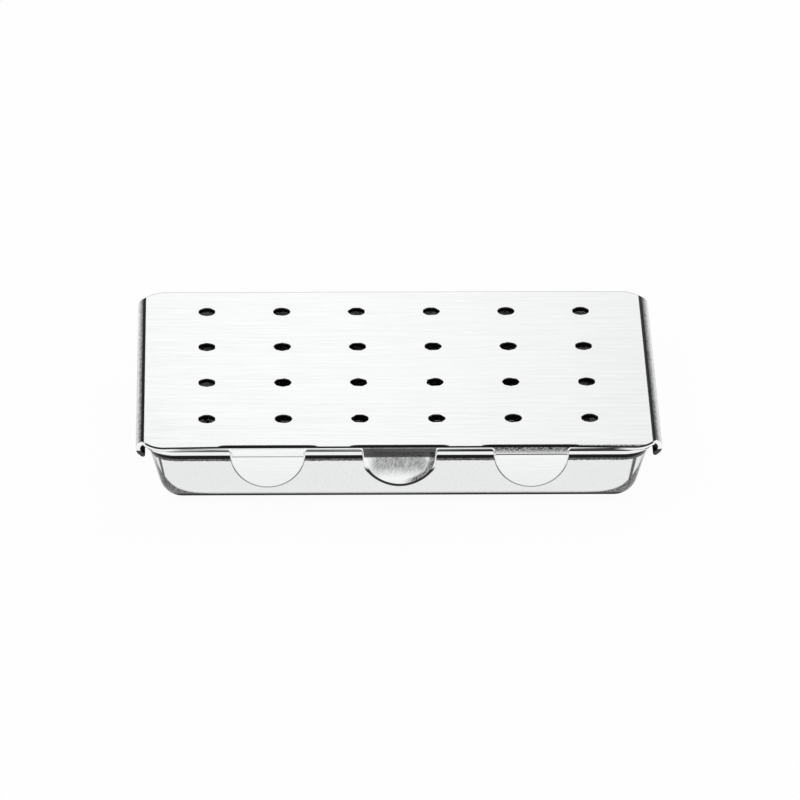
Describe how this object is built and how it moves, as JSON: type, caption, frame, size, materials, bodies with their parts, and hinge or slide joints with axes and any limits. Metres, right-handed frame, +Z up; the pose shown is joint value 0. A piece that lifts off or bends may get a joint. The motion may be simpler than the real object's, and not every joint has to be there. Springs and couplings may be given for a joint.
{
  "type": "bur sterilization box",
  "caption": "Flat stainless steel box with a perforated sliding lid, folded side grips, front tongues and a notched bur rack inside.",
  "frame": {"origin": "centre of the tray's flat underside", "axes": "+X along the long side to the right, -Y towards the tongues at the front, +Z up"},
  "size_m": [0.1028, 0.068, 0.0154],
  "materials": {
    "tray_steel": "polished, bright",
    "lid_steel": "fine brushed along the long side",
    "rack_steel": "satin",
    "rivet_steel": "bright"
  },
  "bodies": {
    "tray": {"tray": "tray_steel", "rack_plate": "rack_steel", "comb_channel_front": "rack_steel", "comb_channel_rear": "rack_steel", "comb_rivet_front_1": "rivet_steel", "comb_rivet_front_2": "rivet_steel", "comb_rivet_front_3": "rivet_steel", "comb_rivet_rear_1": "rivet_steel", "comb_rivet_rear_2": "rivet_steel", "comb_rivet_rear_3": "rivet_steel"},
    "lid": {"lid": "lid_steel"}
  },
  "joints": [
    {"name": "lid_slide", "type": "slide", "parent": "tray", "child": "lid", "axis": [0, -1, 0], "range_m": [0, 0.068]}
  ]
}
